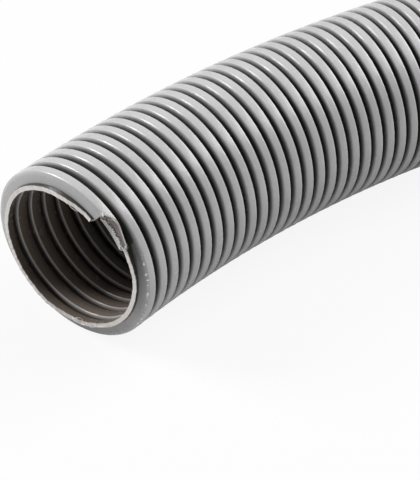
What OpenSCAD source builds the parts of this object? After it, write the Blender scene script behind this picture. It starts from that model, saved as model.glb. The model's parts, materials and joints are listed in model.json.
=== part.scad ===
// Corrugated flexible conduit, size 50, one metre, lying on its side.
// The square-cut end's centre is the origin; the run goes along +X, then bends towards +Y.

/* [Section] */
// Outside diameter over the ribs
outside_d = 50; // [46:0.5:63]
// Clear inside diameter, the way for the cables
bore_d = 40.7; // [36:0.1:42]
// Wall thickness at the grooves
groove_wall = 1.2; // [0.9:0.1:1.6]

/* [Ribs] */
// Distance from one rib to the next
rib_pitch = 4.5; // [4:0.1:6]
// Width of the groove between two ribs
groove_w = 1.6; // [1.2:0.1:2]
// Thickness of a rib's two side walls
side_wall = 0.65; // [0.55:0.05:0.75]
// Thickness of a rib's crown
crown_wall = 0.8; // [0.5:0.05:1]
// Bevel along both edges of a crown
crown_bevel = 0.5; // [0.3:0.05:0.6]

/* [Length and bend] */
// Ribs in the straight run
straight_ribs = 188; // [20:1:200]
// Ribs in the bend
bend_ribs = 34; // [6:1:40]
// Radius of the bend, measured at the centre line
bend_r = 355; // [300:1:600]

/* [Knife cut] */
// Where the cut leaves the last groove, in degrees from the bend's inner side, counted by way of the floor
step_angle = 300; // [270:1:330]
// How far round the cut runs while it crosses the rib, in millimetres
crossing_run = 12.5; // [6:0.5:18]

/* [Hidden] */
outside_r = outside_d / 2;
bore_r = bore_d / 2;
groove_r = bore_r + groove_wall;
cavity_r = outside_r - crown_wall;
rib_half_w = (rib_pitch - groove_w) / 2;
cavity_half_w = rib_half_w - side_wall;
// A groove ring ends half way into the rib walls on its two sides
groove_ring_half_w = (groove_w + side_wall) / 2;
// How far a bend rib's foot stands back from both faces of the groove rings that hold it
foot_inset = 0.25;
bend_step = rib_pitch / bend_r * 180 / PI;
straight_l = straight_ribs * rib_pitch;
$fn = 64;

// Outer edge of the rib whose middle is at x, as [radius, x] points
function crown(x) = [
    [outside_r - crown_bevel, x - rib_half_w],
    [outside_r, x - rib_half_w + crown_bevel],
    [outside_r, x + rib_half_w - crown_bevel],
    [outside_r - crown_bevel, x + rib_half_w]
];

// Inner edge of the same rib, back again, with its foot at radius r
function cavity(x, r) = [
    [r, x + cavity_half_w],
    [cavity_r, x + cavity_half_w],
    [cavity_r, x - cavity_half_w],
    [r, x - cavity_half_w]
];

// Turns a profile of [radius, x] points about the X axis
module turned(profile) {
    rotate([0, 90, 0])
        rotate_extrude()
            polygon(profile);
}

// Puts its children at groove n of the bend; half numbers are ribs
module along_bend(n) {
    translate([straight_l, bend_r, 0])
        rotate([0, 0, n * bend_step])
            translate([0, -bend_r, 0])
                children();
}

// One hollow rib, open to the bore
module rib() {
    foot_r = bore_r + foot_inset;
    shoulder_r = groove_r - foot_inset;
    turned(concat(
        [[foot_r, -rib_half_w], [shoulder_r, -rib_half_w]],
        crown(0),
        [[shoulder_r, rib_half_w], [foot_r, rib_half_w]],
        cavity(0, foot_r)
    ));
}

// The wall under a groove, from one rib to the next or only to to_x
module groove_ring(to_x = groove_ring_half_w) {
    turned([
        [bore_r, -groove_ring_half_w],
        [groove_r, -groove_ring_half_w],
        [groove_r, to_x],
        [bore_r, to_x]
    ]);
}

// The whole straight run in one turned profile, square cut in the middle of a groove
module straight_run() {
    middles = [for (i = [0 : straight_ribs - 1]) (i + 0.5) * rib_pitch];
    turned(concat(
        [[bore_r, 0], [groove_r, 0]],
        [for (x = middles) each concat(
            [[groove_r, x - rib_half_w]],
            crown(x),
            [[groove_r, x + rib_half_w]]
        )],
        [[groove_r, straight_l], [bore_r, straight_l]],
        [for (i = [straight_ribs - 1 : -1 : 0]) each cavity(middles[i], bore_r)]
    ));
}

// What the knife took off as it left the last groove and crossed the last rib
module knife_crossing() {
    rotate([270 - step_angle, 0, 0])
        linear_extrude(height = outside_d)
            polygon([[0, 0], [-rib_pitch, crossing_run], [rib_pitch, crossing_run], [rib_pitch, 0]]);
}

// The last rib and its lip, where the conduit was cut off along a groove
module cut_end() {
    difference() {
        union() {
            along_bend(bend_ribs - 1) groove_ring();
            along_bend(bend_ribs - 0.5) rib();
            along_bend(bend_ribs) groove_ring(0);
        }
        along_bend(bend_ribs) knife_crossing();
    }
}

module conduit() {
    color("lightgrey") {
        straight_run();
        for (i = [0 : bend_ribs - 2]) along_bend(i) groove_ring();
        for (i = [0 : bend_ribs - 2]) along_bend(i + 0.5) rib();
        cut_end();
    }
}

conduit();
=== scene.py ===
import json
import math
import random

import bmesh
import bpy
import numpy as np
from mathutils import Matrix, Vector


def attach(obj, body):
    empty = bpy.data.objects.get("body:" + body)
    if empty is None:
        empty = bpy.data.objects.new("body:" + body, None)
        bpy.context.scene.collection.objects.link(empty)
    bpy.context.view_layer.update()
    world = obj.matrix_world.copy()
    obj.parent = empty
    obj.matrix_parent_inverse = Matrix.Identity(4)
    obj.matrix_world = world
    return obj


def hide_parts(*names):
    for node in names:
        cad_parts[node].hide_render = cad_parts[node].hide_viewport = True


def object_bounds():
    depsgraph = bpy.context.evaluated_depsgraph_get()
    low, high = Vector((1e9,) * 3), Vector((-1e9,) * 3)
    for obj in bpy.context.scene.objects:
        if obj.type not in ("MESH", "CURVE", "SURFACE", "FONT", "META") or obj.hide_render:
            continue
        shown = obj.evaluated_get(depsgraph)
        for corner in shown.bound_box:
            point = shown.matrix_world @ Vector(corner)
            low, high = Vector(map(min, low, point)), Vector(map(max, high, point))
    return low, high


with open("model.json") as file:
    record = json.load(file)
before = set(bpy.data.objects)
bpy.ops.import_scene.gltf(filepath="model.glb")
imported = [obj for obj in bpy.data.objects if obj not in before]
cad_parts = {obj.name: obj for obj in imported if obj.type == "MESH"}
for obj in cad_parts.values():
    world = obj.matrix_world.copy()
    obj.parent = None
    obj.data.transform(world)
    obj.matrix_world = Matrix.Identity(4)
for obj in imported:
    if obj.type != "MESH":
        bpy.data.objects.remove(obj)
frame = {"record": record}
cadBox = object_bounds()
mounts = {m["name"]: m for m in frame["record"]["mounts"]}
mm = 0.001
boreR = mounts["cable_way"]["dims"]["r_mm"] * mm
crownR = cadBox[1].z

# metres and degrees. Angles round the wall count from the bend's inner side (0) by way of the floor (90).
# A row of outside or inside is the edge it is counted from, mm towards the mouth, mm of depth or height, how
# much painted shade it gets, how much painted highlight it gets, and how many degrees past the step the
# knife ended it.
conduit = {
    "pitch": 0.0045,
    "ribWide": 0.0029,
    "sideWall": 0.00065,
    "grooveWall": 0.0012,
    # depth below the crown; None is the groove's floor
    "outside": [
        # the dark share is painted shade: full in the groove and down the flanks, none on the crown
        ("groove", 0, None, 1, 0, 30),
        ("far", -0.1, None, 1, 0, 29.6),
        ("far", -0.03, 2.2, 1, 0, 27.5),
        ("far", 0.02, 0.62, 1, 0, 15),
        ("far", 0.06, 0.2, 0.25, 0, 11.5),
        # a little painted highlight on the far edge of the crown
        ("far", 0.24, 0, 0.05, 0.05, 9.8),
        ("far", 0.6, 0.05, 0, 0, 8.4),
        ("near", -0.8, 0.03, 0, 0, 3.2),
        # a painted highlight along the near shoulder
        ("near", -0.52, 0.12, 0, 0.3, 2.8),
        ("near", -0.28, 0.34, 0.22, 0, 2.4),
        ("near", -0.1, 0.8, 0.65, 0, 1.9),
        ("near", 0.02, 1.4, 0.95, 0, 1.6),
        ("near", 0.18, 3.1, 1, 0, 1.5),
        ("near", 0.25, None, 1, 0, 1.4),
    ],
    # height over the bore
    "inside": [
        # the dark share is the bore's painted shade, less of it where the slot's far edge catches the light
        ("groove", 0, 0, 1, 0, 30),
        ("farHole", -0.3, 0, 1, 0, 29.7),
        # a painted highlight along the slot's far edge
        ("farHole", -0.1, 0.05, 0.45, 0.45, 29.5),
        ("farHole", 0, 0.22, 0.5, 0.4, 29.4),
        ("farHole", -0.1, 1.6, 1, 0, 28.8),
        ("farHole", -0.35, 2.5, 0.8, 0, 27),
        ("farHole", -0.36, 3.95, 0.8, 0, 13.5),
        ("farHole", 0.2, 4.1, 1, 0, 7.6),
        ("nearHole", 0.06, 4.1, 1, 0, 3),
        ("nearHole", 0, 0.14, 1, 0, 1.6),
        ("nearHole", 0.12, 0, 1, 0, 1.4),
    ],
    "stepAngle": 300,  # where the knife left the groove
    "crossingAngle": 30,  # how far round it went while crossing the rib
    "lipLead": 0.00227,  # how far past the centre line's end the lip comes at the step, before it strays
    # the turns sit further back than the knife's edge, least of all at the mouth
    "setBack": 0.00105,
    "bulge": (0.0005, 500),  # how much less, and over how many degrees
    # how far the knife strayed, in mm, every so many degrees from the step's end on
    "strayStep": 30,
    "stray": [0, -0.45, -0.35, -0.1, 0.2, 0.5, 0.15, 0, -0.3, 0.1, 0.25, -0.35],
    "rough": 0.00007,
    "ripples": [(11, 1, 0), (37, 0.7, 2), (83, 0.6, 1)],  # waves round the lip, share of rough, shift
    "rippleStart": 4,  # how fast they set in past the step
    # how much painted shade the last rib's open side keeps, over how many degrees it gets so, and the land
    # beside it
    "nearShade": (0.13, 60),
    "landShade": 0.95,
    "landEdge": 0.00022,  # width of the pale edge
    # degrees between columns, and turns from the mouth where each spacing starts
    "columns": [(18, None), (6, 34), (1, 2.1)],
    "spareTurns": 3,  # turns past the square cut, which takes them off
    # where straightWall and bentWall meet: turns from the mouth, and the angle round the wall
    "joinTurns": 34,
    "joinAngle": 90,
    "sharp": 60,
    "tiny": 0.0000001,
    "atCut": 0.00001,  # what lies this near the square cut belongs to it
}


def readRoute():
    # the centre line runs straight from the origin along x, then round towards +y
    end = Vector(mounts["cut_end"]["pos_m"])
    axis = mounts["cut_end"]["axis"]
    bend = math.atan2(axis[1], axis[0])
    radius = end.y / (1 - math.cos(bend))
    straight = end.x - radius * math.sin(bend)
    return {"bend": bend, "radius": radius, "straight": straight, "length": straight + radius * bend}


def placeOnRoute(route, along, r, theta):
    past = np.maximum(along - route["straight"], 0)
    turn = np.minimum(past / route["radius"], route["bend"])
    over = past - turn * route["radius"]
    cx = np.minimum(along, route["straight"]) + route["radius"] * np.sin(turn) + over * np.cos(turn)
    cy = route["radius"] * (1 - np.cos(turn)) + over * np.sin(turn)
    a = np.radians(theta)
    side = r * np.cos(a)
    return np.stack([cx - side * np.sin(turn), cy + side * np.cos(turn), -r * np.sin(a)], -1)


def wallOutlines(s):
    # outer and inner outline of the wall over one pitch, from groove to groove
    far = (s["pitch"] - s["ribWide"]) / 2
    hole = far + s["sideWall"]
    edges = {"groove": 0, "far": far, "farHole": hole}
    edges["near"], edges["nearHole"] = s["pitch"] - far, s["pitch"] - hole
    outer, inner = [], []

    def addRow(outline, edge, shift, r, tone, until):
        outline.append({"edge": edge, "x": edges[edge] + shift * mm, "r": r, "tone": tone, "until": until})

    for edge, shift, depth, paintedShade, pale, until in s["outside"]:
        r = boreR + s["grooveWall"] if depth is None else crownR - depth * mm
        addRow(outer, edge, shift, r, (paintedShade, 0, pale), until)
    for edge, shift, height, paintedShade, pale, until in s["inside"]:
        addRow(inner, edge, shift, boreR + height * mm, (0, paintedShade, pale), until)
    return outer, inner


def columnAngles(s, length):
    end = (math.ceil(length / s["pitch"]) + s["spareTurns"]) * 360
    coarse = s["columns"][0][0]
    starts = [0] + [end - round(turns * 360 / coarse) * coarse for _, turns in s["columns"][1:]] + [end]
    angles = []
    for (step, _), a, b in zip(s["columns"], starts, starts[1:]):
        angles += range(a, b, step)
    return angles + list(range(end, end + s["crossingAngle"] + 1)), end


def makeHelix(s, route, end):
    # distance along the centre line of a groove's middle, at t degrees of the whole helix
    start = route["length"] + s["lipLead"] - s["pitch"] - s["pitch"] * end / 360
    return lambda t: start + s["pitch"] * t / 360 - pushBack(s, t - end)


def pushBack(s, t):
    height, wide = s["bulge"]
    return s["setBack"] - height * math.exp(-((t / wide) ** 2))


def lipReach(s, t):
    # from the groove's middle to the knife's edge, which strays a little
    at = (t + 360 - s["crossingAngle"]) / s["strayStep"]
    i = min(max(int(at), 0), len(s["stray"]) - 2)
    share = min(max(at - i, 0), 1)
    stray = s["stray"][i] + (s["stray"][i + 1] - s["stray"][i]) * share**2 * (3 - 2 * share)
    a = math.radians(t)
    rough = sum(height * math.sin(count * a + shift) for count, height, shift in s["ripples"])
    fadeIn = min(1, max(at * s["rippleStart"], 0))
    return s["pitch"] + pushBack(s, t) + stray * mm + s["rough"] * rough * fadeIn


def zipFaces(one, two):
    # triangles between two open rows of (position along, index)
    faces, i, j = [], 0, 0
    while i < len(one) - 1 or j < len(two) - 1:
        if j == len(two) - 1 or (i < len(one) - 1 and one[i + 1][0] <= two[j + 1][0]):
            faces.append([one[i][1], one[i + 1][1], two[j][1]])
            i += 1
        else:
            faces.append([one[i][1], two[j + 1][1], two[j][1]])
            j += 1
    return faces


def buildWall(s, route):
    outlines = wallOutlines(s)
    angles, end = columnAngles(s, route["length"])
    helix = makeHelix(s, route, end)
    columnAt = {t: i for i, t in enumerate(angles)}
    last, firstLip, lastLip = len(angles) - 1, columnAt[end - 360 + s["crossingAngle"]], columnAt[end]
    tongue = lipReach(s, angles[firstLip] - end) - s["pitch"]
    points, tones, faces, index = [], [], [], {}

    def addPoint(key, t, x, r, tone):
        index[key] = len(points)
        points.append((helix(t) + x, r, t + s["stepAngle"]))
        tones.append(tone)

    for i, t in enumerate(angles):
        past = max(t - end, 0) / s["crossingAngle"]
        for wall, outline in enumerate(outlines):
            for k, row in enumerate(outline):
                x = row["x"] + (tongue * past**2 if k == 0 else 0)
                tone = row["tone"]
                # no rib stands in front of the last rib's open side, so the painted shade there fades
                if i > firstLip and row["edge"] == "near":
                    light = min((t - angles[firstLip]) / s["nearShade"][1], 1)
                    least = s["landShade"] if k == len(outline) - 1 else s["nearShade"][0]
                    tone = (tone[0] * (1 - light * (1 - least)), 0, tone[2])
                if i == last:
                    tone = (0, 0, 1)
                addPoint((i, wall, k), min(t, end) + past * row["until"], x, row["r"], tone)
            if firstLip < i <= lastLip:
                reach = lipReach(s, t - end)
                # the land beside the lip gets painted shade, outside and in the bore; the lip's edge is the
                # cut's own pale colour
                shade = (s["landShade"], 0, 0) if wall == 0 else (0, 1, 0)
                addPoint((i, wall, "land"), t, reach - s["landEdge"], outline[0]["r"], shade)
                addPoint((i, wall, "lip"), t, reach, outline[0]["r"], (0, 0, 1))
    for wall in (0, 1):
        for row in ("land", "lip"):
            index[(firstLip, wall, row)] = index[(last, wall, 0)]

    def addFace(a, ring, wall=0):
        ring = [v for j, v in enumerate(ring) if v != ring[j - 1]]
        if len(ring) > 2:
            faces.append((a, ring[::-1] if wall else ring))

    def lipEdge(a, wall, row):
        return [index[(min(j, lastLip), wall, row)] for j in (a, a + 1)]

    for a in range(last):
        for wall, outline in enumerate(outlines):
            for k in range(len(outline)):
                low = [index[(a, wall, k)], index[(a + 1, wall, k)]]
                if k + 1 < len(outline):
                    high = [index[(j, wall, k + 1)] for j in (a, a + 1)]
                elif angles[a + 1] + 360 <= angles[-1]:
                    # where this turn meets the next one
                    turn = range(columnAt[angles[a] + 360], columnAt[angles[a + 1] + 360] + 1)
                    high = [index[(j, wall, 0)] for j in turn]
                else:
                    high = lipEdge(a, wall, "land")
                addFace(a, low + high[::-1], wall)
            if firstLip <= a < lastLip:
                addFace(a, lipEdge(a, wall, "land") + lipEdge(a, wall, "lip")[::-1], wall)
        if firstLip <= a < lastLip:
            addFace(a, lipEdge(a, 0, "lip") + lipEdge(a, 1, "lip")[::-1])
    rows = []
    for wall, outline in enumerate(outlines):
        row = [(-p["until"], index[(last, wall, k)]) for k, p in enumerate(outline)]
        rows.append(row + [(k, index[(lastLip, wall, edge)]) for k, edge in enumerate(("land", "lip"))])
    faces += [(last, ring) for ring in zipFaces(rows[0], rows[1])]
    join = columnAt[end - s["joinTurns"] * 360 + (s["joinAngle"] - s["stepAngle"]) % 360]
    return np.array(points), np.array(tones, float), faces, join, helix, end


def makeMesh(name, coords, tones, faces):
    used = sorted({v for ring in faces for v in ring})
    place = {v: i for i, v in enumerate(used)}
    mesh = bpy.data.meshes.new(name)
    mesh.from_pydata(coords[used].tolist(), [], [[place[v] for v in ring] for ring in faces])
    # the colour attribute: painted shade, painted highlights and the cut's own pale colour
    colours = np.concatenate([tones[used], np.ones((len(used), 1))], 1)
    mesh.color_attributes.new("paintedLightAndCut", "FLOAT_COLOR", "POINT").data.foreach_set("color", colours.ravel())
    return mesh


def squareCut(mesh, s):
    # the plain end: cut square at the origin and closed
    bm = bmesh.new()
    bm.from_mesh(mesh)
    geom = bm.verts[:] + bm.edges[:] + bm.faces[:]
    away = (-1, 0, 0)
    bmesh.ops.bisect_plane(
        bm, geom=geom, dist=s["tiny"], plane_co=(0, 0, 0), plane_no=away, clear_outer=True
    )
    rim = [e for e in bm.edges if e.is_boundary and max(v.co.x for v in e.verts) < s["atCut"]]
    bmesh.ops.triangle_fill(bm, use_beauty=True, use_dissolve=False, edges=rim, normal=away)
    bmesh.ops.recalc_face_normals(bm, faces=bm.faces[:])
    left = sum(e.is_boundary and e.verts[0].co.x < s["atCut"] for e in bm.edges)
    print("open edges at the plain end", left)
    bm.to_mesh(mesh)
    bm.free()


def addPiece(mesh, material, sharp):
    mesh.shade_smooth()
    mesh.set_sharp_from_angle(angle=math.radians(sharp))
    mesh.materials.append(material)
    piece = bpy.data.objects.new(mesh.name, mesh)
    bpy.context.scene.collection.objects.link(piece)
    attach(piece, "root")
    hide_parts("conduit")
    mesh.calc_loop_triangles()
    print(piece.name, len(mesh.vertices), "points", len(mesh.loop_triangles), "triangles")
    return piece


def makeConduit(s, material):
    route = readRoute()
    points, tones, faces, join, helix, end = buildWall(s, route)
    coords = placeOnRoute(route, points[:, 0], points[:, 1], points[:, 2])
    straight = makeMesh("straightWall", coords, tones, [ring for a, ring in faces if a < join])
    squareCut(straight, s)
    addPiece(straight, material, s["sharp"])
    bent = makeMesh("bentWall", coords, tones, [ring for a, ring in faces if a >= join])
    addPiece(bent, material, s["sharp"])
    return route, helix, end


# what the knife left. A spot is an angle past the step, mm towards the mouth from the far groove or from the
# knife's edge, and mm over the bore.
knifeLeavings = {
    "seed": 7,
    "pale": (0.86, 0.84, 0.82, 1),
    # the torn foot of the rib in the crossing: first and last angle, mm from the groove, height
    "tornFoot": (3, 28, 1.55, 1.6),
    "jag": 0.42,  # how far its top goes up and down
    "jagCount": 1.6,  # points a degree
    # how fast it rises at its start and falls at its end, what is left there, and its least height
    "footRise": (7, 5, 0.25, 0.5),
    # its section: mm towards the mouth, mm over the bore or under its top, how much painted shade (most by
    # the bore), how pale
    "footRows": [
        (0, "bore", 0, 0.2, 0),
        (0.12, "bore", 0.05, 0.15, 0.1),
        (0.12, "top", -0.4, 0.12, 0.25),
        (0.156, "top", 0, 0, 1),
        (-0.1, "top", 0, 0, 1),
    ],
    "chipPale": (0.7, 1),
    # chips: what the spot is counted from, its first and last angle and its mm, spread, least and most size,
    # count
    "chips": [
        ("groove", 1.5, 4, 3.5, 4.5, 0.18, 0.35, 0.9, 14),
        ("groove", 26, 29, 0.9, 2.4, 0.18, 0.35, 0.85, 14),
        ("groove", 4, 27, 1.6, 1.6, 0.2, 0.2, 0.6, 90),
        ("groove", 3, 10, 2.0, 4.5, 0.35, 0.15, 0.45, 16),
        ("groove", -325, -268, 3.72, 4.3, 0.14, 0.2, 0.8, 90),
        ("groove", -298, -294, 3.75, 4.2, 0.12, 0.4, 0.9, 14),
        ("groove", -262, -225, 3.85, 3.5, 0.3, 0.2, 0.6, 30),
        ("edge", -240, -205, 0, 0.5, 0.22, 0.15, 0.5, 40),
        ("edge", -330, 0, 0, 0.6, 0.35, 0.08, 0.28, 150),
        ("edge", -3, 0, 0, 0.7, 0.3, 0.15, 0.45, 14),
        ("edge", -42, -20, 0, 0.2, 0.2, 0.12, 0.4, 16),
    ],
    "curlSteps": 4,  # from one knot of a curl to the next
    "tube": (2.1, 0.3, 0.25),  # radians from corner to corner, twist a step, thickness left at the ends
    "sharp": 30,
    # shavings: the spots that a curl runs through, and how thick it is
    "shavings": [
        ([(-208, 0, 0.3), (-213, 0.5, -0.2), (-216, 0.2, -0.9), (-219, -0.2, -0.4), (-223, 0.4, 0.2)], 0.2),
        ([(-218, 0.1, 0.8), (-222, 0.7, 0.5), (-226, 0.2, 0.2), (-229, 0.6, 0.9), (-234, 0.1, 0.6)], 0.22),
        ([(-231, 0.2, 0.3), (-238, 0.5, 0.6), (-245, 0.1, 0.4)], 0.15),
        ([(-80, 0, 1.0), (-76, 0.4, 1.5), (-72, 0, 1.4)], 0.13),
        ([(-20, 0, 0.2), (-15, 0.35, -0.2), (-10, 0, 0.1)], 0.15),
    ],
}


def makeLeavings(s, route, helix, end, material):
    rng = random.Random(s["seed"])
    step = conduit["stepAngle"]
    coords, tones, faces = [], [], []

    def spot(angle, x, height, source="groove"):
        along = helix(end + angle) + x * mm + (lipReach(conduit, angle) if source == "edge" else 0)
        return Vector(placeOnRoute(route, np.array(along), boreR + height * mm, end + angle + step).tolist())

    def closeTube(first, count, sides):
        # faces round a row of sections, and one over each end
        for i in range(count):
            for j in range(sides):
                a, b = first + i * sides + j, first + i * sides + (j + 1) % sides
                faces.append([a, b, b + sides, a + sides])
        faces.append([first + j for j in reversed(range(sides))])
        faces.append([first + count * sides + j for j in range(sides)])

    def addTube(path, thick):
        # three-sided, twisted, thin at both ends
        corner, twist, thin = s["tube"]
        for i, p in enumerate(path):
            along = (path[min(i + 1, len(path) - 1)] - path[max(i - 1, 0)]).normalized()
            side = along.orthogonal().normalized()
            other = along.cross(side)
            r = thick * mm / 2 * (thin + (1 - thin) * math.sin(math.pi * (i + 0.5) / len(path)))
            for j in range(3):
                a = corner * j + twist * i
                coords.append(p + (side * math.cos(a) + other * math.sin(a)) * r)
                tones.append((0, 0, 1))
        closeTube(len(coords) - len(path) * 3, len(path) - 1, 3)

    def addTornFoot():
        start, until, x, height = s["tornFoot"]
        rise, fall, rest, low = s["footRise"]
        count = round((until - start) * s["jagCount"])
        for i in range(count + 1):
            share = i / count
            top = height * min(1, share * rise, (1 - share) * fall + rest)
            top = max(top + rng.uniform(-s["jag"], s["jag"]), low)
            for ahead, source, up, paintedShade, pale in s["footRows"]:
                up += top if source == "top" else 0
                coords.append(spot(start + (until - start) * share, x + ahead, up))
                tones.append((paintedShade, 0, pale))
        rows = len(s["footRows"])
        closeTube(len(coords) - (count + 1) * rows, count, rows)

    def addChip(source, start, until, x, height, spread, least, most):
        # a small, uneven, four-sided lump
        near = [rng.gauss(0, spread) for _ in range(2)]
        if source == "edge":
            near[0] = -abs(near[0])
        middle = spot(rng.uniform(start, until), x + near[0], max(height + near[1], 0), source)
        size = least + (most - least) * rng.random() ** 2
        first = len(coords)
        for _ in range(4):
            coords.append(middle + Vector([rng.uniform(-1, 1) for _ in range(3)]) * size * mm / 2)
            tones.append((0, 0, rng.uniform(*s["chipPale"])))
        for corners in ((0, 1, 2), (0, 2, 3), (0, 3, 1), (1, 3, 2)):
            faces.append([first + corner for corner in corners])

    addTornFoot()
    for *chip, count in s["chips"]:
        for _ in range(count):
            addChip(*chip)
    for knots, thick in s["shavings"]:
        # a smooth curve through the knots
        path = []
        for i in range((len(knots) - 1) * s["curlSteps"] + 1):
            k = min(i // s["curlSteps"], len(knots) - 2)
            share = i / s["curlSteps"] - k
            near = [knots[max(k - 1, 0)], knots[k], knots[k + 1], knots[min(k + 2, len(knots) - 1)]]
            at = []
            for a, b, c, d in zip(*near):
                bend = (2 * a - 5 * b + 4 * c - d) * share**2 + (3 * b - a - 3 * c + d) * share**3
                at.append(b + ((c - a) * share + bend) / 2)
            path.append(spot(*at, "edge"))
        addTube(path, thick)
    mesh = makeMesh("knifeLeavings", np.array([tuple(p) for p in coords]), np.array(tones, float), faces)
    addPiece(mesh, material, s["sharp"])


def addNode(tree, kind, **values):
    node = tree.nodes.new(kind)
    for name, value in values.items():
        if name in node.inputs:
            node.inputs[name].default_value = value
        else:
            setattr(node, name, value)
    return node


plastic = {
    "crown": (0.452, 0.449, 0.455, 1),
    # groove is a painted shade colour, for the grooves and other hollows
    "groove": (0.035, 0.033, 0.03, 1),
    # inside is a painted shade colour, for the bore
    "inside": (0.165, 0.136, 0.114, 1),
    # the cut's own pale colour, also used for painted highlights along the crowns' and the lands' edges
    "pale": (0.7, 0.67, 0.64, 1),
    "roughness": 0.2,
    # scale and detail of each pattern
    "mottle": 0.05,  # how far the tone wanders
    "patchScale": (60, 3),
    "speckScale": (900, 4),
    "scuff": 0.1,  # how far the roughness wanders
    "scuffShine": 0.4,
    "scuffScale": (350, 5),
    "grain": 0.00002,  # height of the fine grain
    "grainScale": (2200, 3),
    "grainStrength": 0.5,
    "patternSpan": (0.3, 0.7),  # the part of a pattern's range that is used
    # share of mottle by which the patches lighten, and by which the specks darken and lighten
    "lighter": (0.5, 0.5, 0.4),
}


def plasticMaterial(name, s):
    mat = bpy.data.materials.new(name)
    mat.use_nodes = True
    tree = mat.node_tree
    link = tree.links.new
    shader = tree.nodes["Principled BSDF"]
    place = addNode(tree, "ShaderNodeTexCoord").outputs["Object"]
    zone = addNode(tree, "ShaderNodeAttribute", attribute_name="paintedLightAndCut")
    split = addNode(tree, "ShaderNodeSeparateColor")
    link(zone.outputs["Color"], split.inputs["Color"])
    tone = None
    # red mixes in the grooves' painted shade, green the bore's painted shade, blue the cut's pale colour and
    # painted highlights
    for channel, part in (("Red", "groove"), ("Green", "inside"), ("Blue", "pale")):
        mix = addNode(tree, "ShaderNodeMix", data_type="RGBA")
        mix.inputs["A"].default_value = s["crown"]
        mix.inputs["B"].default_value = s[part]
        link(split.outputs[channel], mix.inputs["Factor"])
        if tone:
            link(tone, mix.inputs["A"])
        tone = mix.outputs["Result"]

    def noise(scale, detail):
        node = addNode(tree, "ShaderNodeTexNoise", Scale=scale, Detail=detail)
        link(place, node.inputs["Vector"])
        return node.outputs["Fac"]

    def spread(source, least, most):
        node = addNode(tree, "ShaderNodeMapRange")
        ends = (*s["patternSpan"], least, most)
        for socket, value in zip(("From Min", "From Max", "To Min", "To Max"), ends):
            node.inputs[socket].default_value = value
        link(source, node.inputs["Value"])
        return node.outputs["Result"]

    patches = addNode(tree, "ShaderNodeMath", operation="MULTIPLY")
    patchUp, speckDown, speckUp = (s["mottle"] * share for share in s["lighter"])
    link(spread(noise(*s["patchScale"]), 1 - s["mottle"], 1 + patchUp), patches.inputs[0])
    link(spread(noise(*s["speckScale"]), 1 - speckDown, 1 + speckUp), patches.inputs[1])
    # the painted shade and highlights, with the cut's colour, times a random mottle
    mottledTone = addNode(tree, "ShaderNodeVectorMath", operation="SCALE")
    link(tone, mottledTone.inputs[0])
    link(patches.outputs["Value"], mottledTone.inputs["Scale"])
    link(mottledTone.outputs["Vector"], shader.inputs["Base Color"])
    least = s["roughness"] - s["scuff"] * s["scuffShine"]
    link(spread(noise(*s["scuffScale"]), least, s["roughness"] + s["scuff"]), shader.inputs["Roughness"])
    bump = addNode(tree, "ShaderNodeBump", Strength=s["grainStrength"], Distance=s["grain"])
    link(noise(*s["grainScale"]), bump.inputs["Height"])
    link(bump.outputs["Normal"], shader.inputs["Normal"])
    return mat


def floorMaterial(s):
    mat = bpy.data.materials.new("paleFloor")
    mat.use_nodes = True
    tree = mat.node_tree
    link = tree.links.new
    shader = tree.nodes["Principled BSDF"]
    shader.inputs["Base Color"].default_value = s["floorColour"]
    shader.inputs["Roughness"].default_value = s["floorRoughness"]
    white = addNode(tree, "ShaderNodeEmission", Color=(1, 1, 1, 1), Strength=1.0)
    seen = addNode(tree, "ShaderNodeLightPath")
    share = addNode(tree, "ShaderNodeMath", operation="MULTIPLY")
    share.inputs[1].default_value = s["floorWhite"]
    mix = addNode(tree, "ShaderNodeMixShader")
    link(seen.outputs["Is Camera Ray"], share.inputs[0])
    link(share.outputs[0], mix.inputs["Fac"])
    link(shader.outputs["BSDF"], mix.inputs[1])
    link(white.outputs["Emission"], mix.inputs[2])
    link(mix.outputs["Shader"], tree.nodes["Material Output"].inputs["Surface"])
    return mat


# the camera stands over the mouth, to the left of the way it faces
view = {
    "heading": 38.84,
    "elevation": 38.62,
    "distance": 0.443,
    "back": 0.02833,
    "inward": 0.02393,
    "lens": 128.25,
    "sensor": 36,
    "nearest": 0.01,
}
studio = {
    "floorSize": 6.0,
    "floorColour": (0.6, 0.6, 0.6, 1),
    "floorRoughness": 0.9,
    "floorWhite": 0.9,  # how much of the floor is plain white to the camera
    "world": 0.24,
    # how far out of the mouth, to the bend's inner side and up; distance, size and power
    "lamps": {
        "keyLight": ((0.4, -0.85, 0.75), 1.2, 0.4, 14),
        "backLight": ((-0.7, 0.35, 0.7), 1.4, 1.0, 21),
    },
}


def makeCamera(s, end, outward, inward):
    aim = end - outward * s["back"] + inward * s["inward"]
    a = math.atan2(outward.y, outward.x) + math.radians(s["heading"])
    e = math.radians(s["elevation"])
    away = Vector((math.cos(a) * math.cos(e), math.sin(a) * math.cos(e), math.sin(e)))
    data = bpy.data.cameras.new("camera")
    data.lens, data.sensor_width, data.clip_start = s["lens"], s["sensor"], s["nearest"]
    camera = bpy.data.objects.new("camera", data)
    bpy.context.scene.collection.objects.link(camera)
    camera.location = aim + away * s["distance"]
    camera.rotation_euler = (-away).to_track_quat("-Z", "Y").to_euler()
    bpy.context.scene.camera = camera
    return aim


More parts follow.
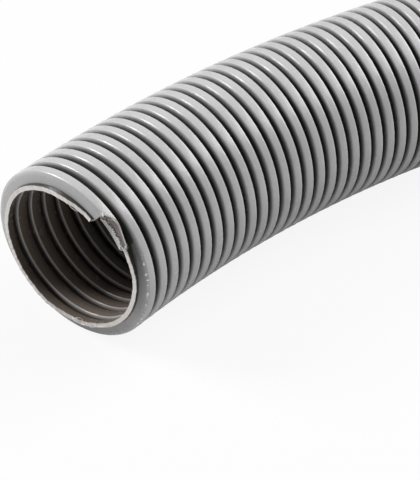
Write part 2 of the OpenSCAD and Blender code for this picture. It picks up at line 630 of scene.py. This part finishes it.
def makeLight(name, aim, direction, distance, size, power):
    data = bpy.data.lights.new(name, "AREA")
    data.shape, data.size, data.energy = "SQUARE", size, power
    light = bpy.data.objects.new(name, data)
    bpy.context.scene.collection.objects.link(light)
    light.location = aim + direction * distance
    light.rotation_euler = (-direction).to_track_quat("-Z", "Y").to_euler()


def makeStudio(s):
    end = Vector(mounts["cut_end"]["pos_m"])
    outward = Vector(mounts["cut_end"]["axis"])
    inward = Vector((-outward.y, outward.x, 0))
    aim = makeCamera(view, end, outward, inward)
    mesh = bpy.data.meshes.new("floor")
    h, z = s["floorSize"], cadBox[0].z
    mesh.from_pydata([(-h, -h, z), (h, -h, z), (h, h, z), (-h, h, z)], [], [(0, 1, 2, 3)])
    floor = bpy.data.objects.new("floor", mesh)
    bpy.context.scene.collection.objects.link(floor)
    floor.data.materials.append(floorMaterial(s))
    for name, ((out, side, up), distance, size, power) in s["lamps"].items():
        direction = (outward * out + inward * side + Vector((0, 0, up))).normalized()
        makeLight(name, aim, direction, distance, size, power)
    world = bpy.data.worlds.new("world")
    bpy.context.scene.world = world
    world.use_nodes = True
    tree = world.node_tree
    plain = tree.nodes["Background"]
    plain.inputs["Color"].default_value = (1, 1, 1, 1)
    plain.inputs["Strength"].default_value = s["world"]
    white = addNode(tree, "ShaderNodeBackground", Color=(1, 1, 1, 1), Strength=1.0)
    seen = addNode(tree, "ShaderNodeLightPath")
    mix = addNode(tree, "ShaderNodeMixShader")
    tree.links.new(seen.outputs["Is Camera Ray"], mix.inputs["Fac"])
    tree.links.new(plain.outputs["Background"], mix.inputs[1])
    tree.links.new(white.outputs["Background"], mix.inputs[2])
    tree.links.new(mix.outputs["Shader"], tree.nodes["World Output"].inputs["Surface"])
    bpy.context.scene.view_settings.view_transform = "Standard"
    print("studio ready")


route, helix, end = makeConduit(conduit, plasticMaterial("greyPlastic", plastic))
leavings = plasticMaterial("cutPlastic", {**plastic, "pale": knifeLeavings["pale"]})
makeLeavings(knifeLeavings, route, helix, end, leavings)
makeStudio(studio)
